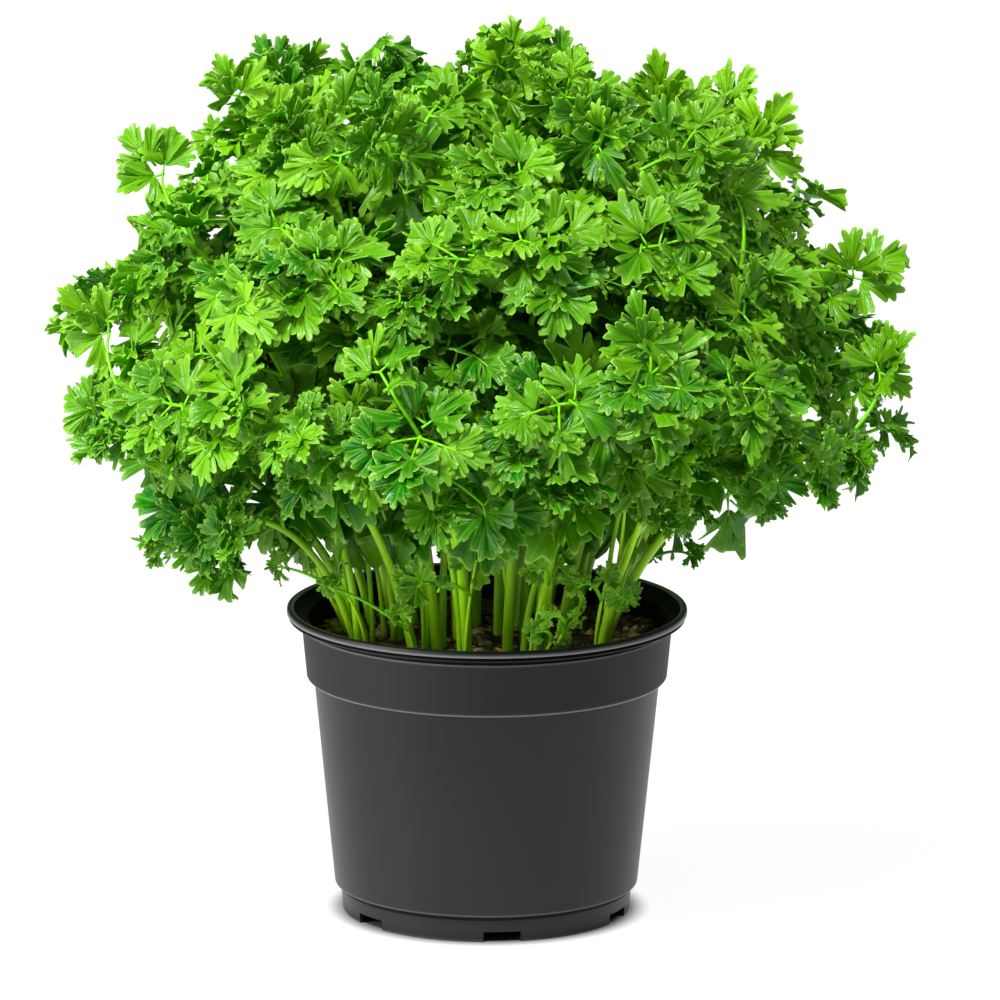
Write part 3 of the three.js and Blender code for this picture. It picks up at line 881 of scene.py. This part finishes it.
def noise_texture(tree, scale, detail=4, roughness=0.55):
    place = node(tree, "ShaderNodeTexCoord").outputs["Object"]
    made = node(tree, "ShaderNodeTexNoise")
    feed(tree, made.inputs, {"Vector": place, "Scale": scale, "Detail": detail, "Roughness": roughness})
    return made.outputs["Fac"]


def add_bump(tree, shader, height, strength, distance):
    bump = node(tree, "ShaderNodeBump")
    feed(tree, bump.inputs, {"Strength": strength, "Distance": distance, "Height": height})
    tree.links.new(bump.outputs[0], shader.inputs["Normal"])


LEAF_COLOURS = {
    "dark": (0.003, 0.14, 0.0002), "light": (0.235, 0.55, 0.004), "vein": (0.26, 0.62, 0.03),
    "edge": (0.46, 0.78, 0.11), "below": (0.12, 0.42, 0.004), "through": (0.10, 0.74, 0.0005),
}
STEM_COLOURS = {"low": (0.40, 0.74, 0.012), "high": (0.14, 0.50, 0.002)}
POT_COLOURS = {
    # The pale grey is a painted highlight for the pot's rounded edges.
    "dark": (0.003, 0.0032, 0.0035), "light": (0.007, 0.0073, 0.008), "painted_highlight": (0.36, 0.36, 0.37),
    # These darker, duller tones paint the shade in the recess under the lip and inside the pot.
    "shade_dark": (0.002, 0.002, 0.0022), "shade_light": (0.006, 0.006, 0.0065),
}
POT_GRAIN = Values(scale=2600, detail=2, strength=0.12, distance=0.00015)
SOIL_COLOURS = {"dark": (0.03, 0.014, 0.008), "light": (0.22, 0.095, 0.045), "chip": (0.95, 0.64, 0.37)}


def leaf_material():
    """Mottled green, paler along veins and edges and below, that lets light through."""
    material, tree, shader = new_material("parsley_leaf")
    mottle = noise_texture(tree, 90)
    fine = noise_texture(tree, 700, 3)
    tone = plus(tree, times(tree, attribute(tree, "shade"), 1.5), times(tree, mottle, 0.5))
    tone = math_node(tree, "SUBTRACT", tone, 0.55)
    colour = mixed(tree, tone, LEAF_COLOURS["dark"], LEAF_COLOURS["light"])
    for name, much, own in (("vein", 0.4, "vein"), ("edge", 0.65, "edge"), ("under", 0.35, "below")):
        colour = mixed(tree, times(tree, attribute(tree, name), much), colour, LEAF_COLOURS[own])
    rough = plus(tree, times(tree, fine, 0.24), 0.14)
    feed(tree, shader.inputs, {"Base Color": colour, "Roughness": rough, "Specular IOR Level": 0.27})
    ridges = plus(tree, times(tree, attribute(tree, "vein"), 0.7), fine)
    add_bump(tree, shader, ridges, 0.5, 0.0005)
    through = node(tree, "ShaderNodeBsdfTranslucent")
    feed(tree, through.inputs, {"Color": mixed(tree, 0.5, colour, LEAF_COLOURS["through"])})
    blend = node(tree, "ShaderNodeMixShader")
    feed(tree, blend.inputs, {0: 0.4, 1: shader.outputs[0], 2: through.outputs[0]})
    tree.links.new(blend.outputs[0], tree.nodes["Material Output"].inputs["Surface"])
    return material


def stem_material():
    material, tree, shader = new_material("parsley_stem")
    streaks = noise_texture(tree, 160, 3)
    tone = plus(tree, attribute(tree, "height"), times(tree, streaks, 0.3))
    colour = mixed(tree, tone, STEM_COLOURS["low"], STEM_COLOURS["high"])
    feed(tree, shader.inputs, {"Base Color": colour, "Roughness": 0.3, "Specular IOR Level": 0.3})
    through = {"Subsurface Weight": 0.12, "Subsurface Radius": (0.6, 1.0, 0.3), "Subsurface Scale": 0.002}
    feed(tree, shader.inputs, through)
    add_bump(tree, shader, streaks, 0.2, 0.0004)
    return material


def add_pot_grain(tree, shader):
    grain = noise_texture(tree, POT_GRAIN.scale, POT_GRAIN.detail)
    add_bump(tree, shader, grain, POT_GRAIN.strength, POT_GRAIN.distance)


def pot_material():
    """Black plastic with a pale painted highlight along its rounded edges, where it is also glossier, and
    duller on its band.
    """
    material, tree, shader = new_material("pot_plastic")
    cloud = noise_texture(tree, 14, 5)
    painted_highlight = attribute(tree, "edge")
    colour = mixed(tree, cloud, POT_COLOURS["dark"], POT_COLOURS["light"])
    # A pale painted highlight along the rounded edges, which are also less rough there.
    colour = mixed(tree, painted_highlight, colour, POT_COLOURS["painted_highlight"])
    rough = plus(tree, times(tree, cloud, 0.14), 0.34)
    rough = math_node(tree, "SUBTRACT", rough, times(tree, painted_highlight, 0.2))
    rough = plus(tree, rough, times(tree, attribute(tree, "shade"), DULL_BAND.by))
    feed(tree, shader.inputs, {"Base Color": colour, "Roughness": rough, "Specular IOR Level": 0.33})
    add_pot_grain(tree, shader)
    return material


def painted_shade_pot_material():
    """The same plastic made darker and duller in the recess under the lip and inside the pot, as painted
    shade.
    """
    material, tree, shader = new_material("pot_plastic_painted_shade")
    colour = mixed(tree, noise_texture(tree, 60, 5), POT_COLOURS["shade_dark"], POT_COLOURS["shade_light"])
    feed(tree, shader.inputs, {"Base Color": colour, "Roughness": 0.6, "Specular IOR Level": 0.12})
    add_pot_grain(tree, shader)
    return material


def soil_material():
    material, tree, shader = new_material("soil")
    clumps = noise_texture(tree, 260, 6, 0.7)
    colour = mixed(tree, clumps, SOIL_COLOURS["dark"], SOIL_COLOURS["light"])
    colour = mixed(tree, attribute(tree, "chip"), colour, SOIL_COLOURS["chip"])
    feed(tree, shader.inputs, {"Base Color": colour, "Roughness": 0.92})
    add_bump(tree, shader, noise_texture(tree, 1500, 3), 0.7, 0.001)
    return material


# The floor's grey and its own light, which starts and is full at these distances from the pot's axis, so
# that it is dark under the pot and fades in round its foot as a painted contact shadow.
FLOOR = Values(base=0.1, glow=0.95, dark_within=0.051, full_from=0.063, half_side=12)


def floor_material():
    """A pale lit table: most of its light is its own, so that shadows on it stay faint; it has none under
    the pot, and it fades in round the pot's foot as a painted contact shadow."""
    material, tree, shader = new_material("floor")
    grey = (FLOOR.base,) * 3
    feed(tree, shader.inputs, {"Base Color": grey, "Roughness": 0.8, "Specular IOR Level": 0.1})
    from_axis = node(tree, "ShaderNodeVectorMath", operation="LENGTH")
    feed(tree, from_axis.inputs, {0: node(tree, "ShaderNodeTexCoord").outputs["Object"]})
    # The glow fades to nothing towards the pot: a painted contact shadow round its foot.
    glow = node(tree, "ShaderNodeMapRange", interpolation_type="SMOOTHSTEP")
    feed(tree, glow.inputs, {"Value": from_axis.outputs["Value"], "To Min": 0.0, "To Max": FLOOR.glow})
    feed(tree, glow.inputs, {"From Min": FLOOR.dark_within, "From Max": FLOOR.full_from})
    feed(tree, shader.inputs, {"Emission Color": (1, 1, 1), "Emission Strength": glow.outputs["Result"]})
    return material


# ---- the pot ----
# Points of the section as radius and height, with how far each corner is rounded.
OUTER_WALL = [
    (0, 4.6, 0), (51.2, 4.6, 0.3), (51.2, 0, 0.4), (53.8, 0, 0.8), (54.6, 9.6, 0.3), (56.8, 10.4, 0.8),
    (64.8, 89.2, 0.5), (66.7, 89.2, 0.3), (67.5, 90.0, 0.3), (69.4, 109.6, 0.6), (68.4, 109.6, 0.2),
    (68.4, 111.5, 0.2), (73.9, 111.8, 0.2), (74.4, 112.2, 0.3), (73.0, 113.2, 0.1), (75, 113.6, 0.4),
    (75, 116, 1.1), (72.5, 116, 0.7), (71.8, 113.2, 0.8), (67.1, 112.3, 0.5), (67.1, 109.2, 0.2),
]
INNER_WALL = [(53.5, 6.4, 0.8), (55.5, 10.4, 0.8), (63.5, 88.8, 0.8), (66.2, 90.5, 0.8), (68.1, 108.3, 0.3)]
POT_SEGMENTS = 192
# A rounded corner's steps, and the distance from a long run's end of the point that holds it straight.
ROUNDING_STEPS = 4
HOLD = 0.5
NOTCH = Values(count=6, first=-83.5, width=14.0, inner=48, outer=58, low=-2.0, high=4.0)
DRAIN = Values(count=6, first=-53.5, from_axis=40.0, radius=4.5, sides=32, low=3.0, high=8.0)


def rounded(section):
    """The section with its corners rounded and its long runs held straight by a point near each end."""
    points = []
    for i, (r, z, size) in enumerate(section):
        corner = np.array([r, z], dtype=float)
        if size == 0:
            points.append(corner)
            continue
        back = np.array(section[i - 1][:2], dtype=float) - corner
        ahead = np.array(section[(i + 1) % len(section)][:2], dtype=float) - corner
        a, b = (corner + v / np.linalg.norm(v) * min(size, np.linalg.norm(v) * 0.45) for v in (back, ahead))
        for t in np.linspace(0, 1, ROUNDING_STEPS + 1):
            points.append((1 - t) ** 2 * a + 2 * t * (1 - t) * corner + t * t * b)
    held = [points[0]]
    for here, there in zip(points, points[1:]):
        run = there - here
        length = np.linalg.norm(run)
        if length > 4 * HOLD:
            held += [here + run * HOLD / length, there - run * HOLD / length]
        held.append(there)
    return np.array(held)


def lathe(builder, section, segments, **values):
    """The solid that a section makes round the Z axis, from its first point on the axis to its last."""
    turn = np.linspace(0, 2 * math.pi, segments, endpoint=False)
    r, z = section[1:-1, 0], section[1:-1, 1]
    flat = [np.outer(r, np.cos(turn)), np.outer(r, np.sin(turn))]
    rings = np.stack([*flat, np.outer(z, np.ones(segments))], -1)
    ends = np.array([[0, 0, section[0, 1]], [0, 0, section[-1, 1]]])
    points = np.vstack([rings.reshape(-1, 3), ends])
    n = len(r) * segments
    around = np.arange(segments)
    following = (around + 1) % segments
    first = np.stack([np.full(segments, n), following, around], -1)
    top = n - segments
    last = np.stack([np.full(segments, n + 1), around + top, following + top], -1)
    builder.add(points, [grid_faces(len(r), segments, closed=True), first, last], **values)
    return points


def cutter():
    """The spaces that the drain holes and the foot's notches take out of the pot."""
    builder = Builder()
    for i in range(DRAIN.count):
        centre = level(math.radians(DRAIN.first + 360 * i / DRAIN.count)) * DRAIN.from_axis
        turn = np.linspace(0, 2 * math.pi, DRAIN.sides, endpoint=False)
        ring = np.stack([np.cos(turn), np.sin(turn), np.zeros_like(turn)], -1) * DRAIN.radius + centre
        prism(builder, ring, DRAIN.low, DRAIN.high)
    for i in range(NOTCH.count):
        out = level(math.radians(NOTCH.first + 360 * i / NOTCH.count))
        side = np.array([-out[1], out[0], 0]) * NOTCH.width / 2
        near, far = out * NOTCH.inner, out * NOTCH.outer
        prism(builder, np.array([near - side, far - side, far + side, near + side]), NOTCH.low, NOTCH.high)
    return builder.make("cutter")


def prism(builder, ring, bottom, top):
    n = len(ring)
    points = np.vstack([ring * [1, 1, 0] + UP * bottom, ring * [1, 1, 0] + UP * top])
    base = np.arange(n)[None]
    builder.add(points, [grid_faces(2, n, closed=True), base[:, ::-1], base + n])


# The recess under the lip and the inside of the pot, as least and most height and radius, where a darker,
# duller plastic is painted shade.
PAINTED_SHADE_ZONES = [(109.7, 113.3, 66, 73.4), (7, 115, 50, 72.2)]
# The pot's edges that carry a pale painted highlight line: radius, height and how strong.
HIGHLIT_EDGES = [
    (72.6, 116, 0.9), (75, 113.8, 0.5), (69.4, 109.6, 0.5), (67.1, 89.6, 0.5), (56.6, 10.3, 0.3),
    (53.8, 0.2, 0.2),
]
HIGHLIGHT_WIDTH = 0.5
# The band, as least and most height, and how much rougher it is than the wall.
DULL_BAND = Values(low=89.9, high=109.5, by=0.2)
SHARP_FROM = math.radians(40)


def outward(points, faces):
    """How far each face looks away from the pot's axis."""
    corners = points[faces]
    normal = np.cross(corners[:, 2] - corners[:, 0], corners[:, 3] - corners[:, 1])
    middle = corners.mean(axis=1) * [1, 1, 0]
    return np.einsum("ij,ij->i", normal, middle)


def make_pot(*materials):
    builder = Builder()
    inner = [(0, 6.4, 0)] + INNER_WALL
    section = rounded(OUTER_WALL + inner[::-1])
    lathe(builder, section, POT_SEGMENTS)
    points, walls = builder.points[0], builder.faces[0]
    r, z = np.hypot(points[:, 0], points[:, 1]), points[:, 2]
    middle_r, middle_z = r[walls].mean(axis=1), z[walls].mean(axis=1)
    recess, inside = (
        (middle_z > low) & (middle_z < high) & (middle_r > near) & (middle_r < far)
        for low, high, near, far in PAINTED_SHADE_ZONES
    )
    # The recess's faces and the inner walls take the darker, duller plastic, as painted shade.
    builder.slots[0] = (recess | (inside & (outward(points, walls) < 0))).astype(int)
    # A pale painted highlight line along each listed edge, carried in the "edge" value.
    off = [((r - edge) ** 2 + (z - height) ** 2, strong) for edge, height, strong in HIGHLIT_EDGES]
    highlight = sum(strong * np.exp(-apart / HIGHLIGHT_WIDTH**2) for apart, strong in off)
    builder.values["edge"] = [np.clip(highlight, 0, 1)]
    builder.values["shade"] = [((z > DULL_BAND.low) & (z < DULL_BAND.high)).astype(float)]
    piece = builder.make("fine_pot", *materials)
    tool = cutter()
    cut = piece.modifiers.new("cut", "BOOLEAN")
    cut.object = tool
    cut.operation = "DIFFERENCE"
    cut.solver = "EXACT"
    shape = bpy.data.meshes.new_from_object(piece.evaluated_get(bpy.context.evaluated_depsgraph_get()))
    piece.modifiers.clear()
    piece.data = shape
    bpy.data.objects.remove(tool)
    shape.shade_smooth()
    shape.set_sharp_from_angle(angle=SHARP_FROM)
    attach(piece, "root")
    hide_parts("pot")


# ---- the soil ----
SOIL = Values(gap=0.3, edge=103.0, falls=(42.0, 68.0), rough=1.5, segments=180, rings=58)
# The crumbly top's unevenness: scale and part of each layer, and where it is taken from the noise.
UNEVEN = ((0.09, 0.9), (0.22, 0.6), (0.55, 0.35))
UNEVEN_LEVEL = 7.3
# Single crumbs: length, width and height are stretches of their size.
CRUMB = Values(
    count=1300, within=66, size=(0.5, 1.7), vary=(0.6, 1.2), long=(0.8, 2.2), wide=(0.6, 1.1),
    high=(0.35, 0.8), lean=0.5, lift=0.25, pale=0.4, chips=(0.9, 0.15),
)
# Heaps of loose crumbs: place, spread and count of each, and what their crumbs share.
HEAPS = [(-41, -6, 2.6, 40), (-7, -15, 3.6, 60), (28, -18, 2.6, 34), (-57, 14, 2.4, 26), (55, -4, 2.6, 30)]
HEAP = Values(
    high=4.5, within=62, size=(0.6, 1.5), stretch=(0.6, 1.2), lift=0.4, foot=1.8, chip=(0.4, 1.0)
)


def soil_height(x, y):
    """Height of the crumbly top at a point."""
    flat, low = SOIL.falls
    fall = min(max((math.hypot(x, y) - flat) / (low - flat), 0), 1)
    lumps = 0
    for scale, part in UNEVEN:
        lumps += part * noise.noise(Vector((x * scale, y * scale, UNEVEN_LEVEL)))
    return SOIL_LEVEL - SOIL_MOUND * fall + SOIL.rough * lumps


def round_lump():
    """A ball of 42 corners, as points on the unit ball and triangles."""
    bm = bmesh.new()
    bmesh.ops.create_icosphere(bm, subdivisions=2, radius=1)
    points = np.array([v.co[:] for v in bm.verts])
    faces = np.array([[v.index for v in f.verts] for f in bm.faces])
    bm.free()
    return points, faces


def bump_wave(ball, rng, depth, pitch, *phase):
    """A wave over the ball's points that makes a crumb uneven."""
    turn = ball @ either_way(rng, pitch, 3)
    return depth * np.sin(turn + rng.uniform(*phase) if phase else turn)


def scatter_crumbs(builder, ball, faces, rng):
    for _ in range(CRUMB.count):
        r, turn = CRUMB.within * math.sqrt(rng.uniform(0.0, 1)), rng.uniform(0, 2 * math.pi)
        size = rng.uniform(*CRUMB.size) * rng.uniform(*CRUMB.vary)
        stretch = np.array([rng.uniform(*side) for side in (CRUMB.long, CRUMB.wide, CRUMB.high)])
        bumps = 1 + bump_wave(ball, rng, 0.22, 4, 0, 6) + bump_wave(ball, rng, 0.14, 8)
        spin = Matrix.Rotation(rng.uniform(0, 6.28), 3, "Z")
        spin = spin @ Matrix.Rotation(either_way(rng, CRUMB.lean), 3, "X")
        x, y = r * math.cos(turn), r * math.sin(turn)
        place = np.array([x, y, soil_height(x, y) + CRUMB.lift * size])
        chip = CRUMB.chips[0 if rng.random() < CRUMB.pale else 1] * rng.random()
        shape = ball * bumps[:, None] * stretch * size
        builder.add(shape @ np.array(spin).T + place, [faces], chip=chip)


def heap_crumbs(builder, ball, faces, rng):
    for x, y, spread, count in HEAPS:
        for _ in range(count):
            dx, dy = rng.normal(0, spread, 2)
            size = rng.uniform(*HEAP.size)
            bumps = 1 + bump_wave(ball, rng, 0.25, 5, 0, 6)
            shape = ball * bumps[:, None] * rng.uniform(*HEAP.stretch, 3) * size
            if math.hypot(x + dx, y + dy) > HEAP.within:
                continue
            steep = 1 - math.hypot(dx, dy) / (HEAP.foot * spread)
            rise = max(0, HEAP.high * steep) * rng.random()
            lift = soil_height(x + dx, y + dy) + HEAP.lift * size + rise
            builder.add(shape + np.array([x + dx, y + dy, lift]), [faces], chip=rng.uniform(*HEAP.chip))


def make_soil(material):
    rng = np.random.default_rng(SEEDS.soil)
    builder = Builder()
    wall = [(r - SOIL.gap, z) for r, z, _ in INNER_WALL[:-1]]
    (r0, z0, _), (r1, z1, _) = INNER_WALL[-2:]
    edge = r0 + (r1 - r0) * (SOIL.edge - z0) / (z1 - z0) - SOIL.gap
    rings = np.linspace(edge, 0, SOIL.rings)
    bottom = INNER_WALL[0][1] + SOIL.gap
    section = [(0, bottom), (wall[0][0] - 0.2, bottom)] + wall[1:] + [(edge, SOIL.edge - 0.8)]
    section = np.array(section + [(r, SOIL_LEVEL) for r in rings])
    top_from = len(section) - len(rings)
    points = lathe(builder, section, SOIL.segments)
    for i in range((top_from - 1) * SOIL.segments, len(points)):
        if i != len(points) - 2:
            points[i][2] = soil_height(points[i][0], points[i][1])
    ball, faces = round_lump()
    scatter_crumbs(builder, ball, faces, rng)
    heap_crumbs(builder, ball, faces, rng)
    piece = builder.make("fine_soil", material)
    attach(piece, "root")
    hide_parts("soil")


# ---- camera, light and floor ----
VIEW = Values(target=(0.0047, 0, 0.1567), distance=4.5, elevation=12.7, lens=433.5, sensor=36, roll=0.2)
# Name, kind, energy, azimuth (0 is the camera's side), elevation and distance of each light, and settings.
LIGHTS = [
    ("key", "SUN", 5.0, -30, 56, 2.0, {"angle": math.radians(7)}),
    ("left", "AREA", 38, -64, 14, 1.6, {"shape": "RECTANGLE", "size": 0.9, "size_y": 1.6}),
    ("above", "AREA", 16, 14, 56, 1.6, {"shape": "RECTANGLE", "size": 2.4, "size_y": 0.3}),
]
LIT_POINT = (0, 0, 0.18)
AMBIENT = 0.2


def make_camera():
    data = bpy.data.cameras.new("camera")
    data.lens = VIEW.lens
    data.sensor_width = VIEW.sensor
    data.clip_end = 100
    camera = placed("camera", data)
    elevation = math.radians(VIEW.elevation)
    back = Vector((0, -math.cos(elevation), math.sin(elevation)))
    tilt = Matrix.Rotation(math.pi / 2 - elevation, 4, "X")
    roll = Matrix.Rotation(math.radians(VIEW.roll), 4, "Z")
    camera.matrix_world = Matrix.Translation(Vector(VIEW.target) + back * VIEW.distance) @ (tilt @ roll)
    bpy.context.scene.camera = camera


def make_lights():
    for name, kind, energy, azimuth, elevation, distance, settings in LIGHTS:
        data = bpy.data.lights.new(name, kind)
        data.energy = energy
        for key, value in settings.items():
            setattr(data, key, value)
        light = placed(name, data)
        a, e = math.radians(azimuth), math.radians(elevation)
        away = Vector((math.sin(a) * math.cos(e), -math.cos(a) * math.cos(e), math.sin(e)))
        light.location = Vector(LIT_POINT) + away * distance
        light.rotation_euler = away.to_track_quat("Z", "Y").to_euler()


def make_studio():
    mesh = bpy.data.meshes.new("floor")
    far = FLOOR.half_side
    mesh.from_pydata([(-far, -far, 0), (far, -far, 0), (far, far, 0), (-far, far, 0)], [], [(0, 1, 2, 3)])
    mesh.materials.append(floor_material())
    floor = placed("floor", mesh)
    world = bpy.data.worlds.new("studio")
    world.use_nodes = True
    background = world.node_tree.nodes["Background"]
    feed(world.node_tree, background.inputs, {"Color": (1, 1, 1), "Strength": AMBIENT})
    bpy.context.scene.world = world
    make_lights()
    bpy.context.scene.view_settings.view_transform = "Standard"


make_camera()
make_studio()
leaf, stalk = leaf_material(), stem_material()
grow_side_twigs(stems, np.random.default_rng(SEEDS.side_twigs))
for index, stem in enumerate(stems):
    make_leafy_stem(stem, index, (leaf, stalk))
make_young_leaves(stems, (leaf, stalk))
make_pot(pot_material(), painted_shade_pot_material())
make_soil(soil_material())
